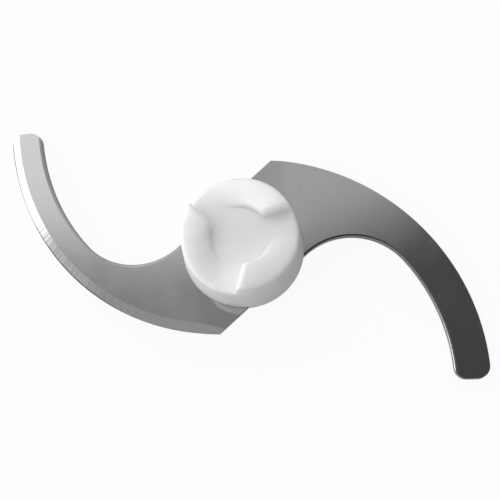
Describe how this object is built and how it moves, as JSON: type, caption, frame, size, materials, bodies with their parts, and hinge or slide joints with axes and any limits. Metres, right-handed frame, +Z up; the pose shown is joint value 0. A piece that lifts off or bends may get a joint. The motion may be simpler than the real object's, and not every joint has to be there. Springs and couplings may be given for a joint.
{
  "type": "chopper blade",
  "caption": "S-shaped steel chopper blade with drooping sickle arms, moulded into a white plastic hub with a ramped jaw coupling on top and a spindle bore below.",
  "frame": {"origin": "on the spindle axis, in the plane of the hub's base, at the mouth of the spindle bore", "axes": "+Z up along the spindle axis towards the drive jaws, +X along the blade's longest extent towards the arm that is ground from below, +Y completes the right-handed set"},
  "size_m": [0.1004, 0.0526, 0.0277],
  "materials": {
    "steel": "fine polished sheet, ground along the cutting edges",
    "white_plastic": "satin, as moulded"
  },
  "bodies": {
    "root": {"s_blade": "steel", "hub": "white_plastic"}
  },
  "joints": []
}
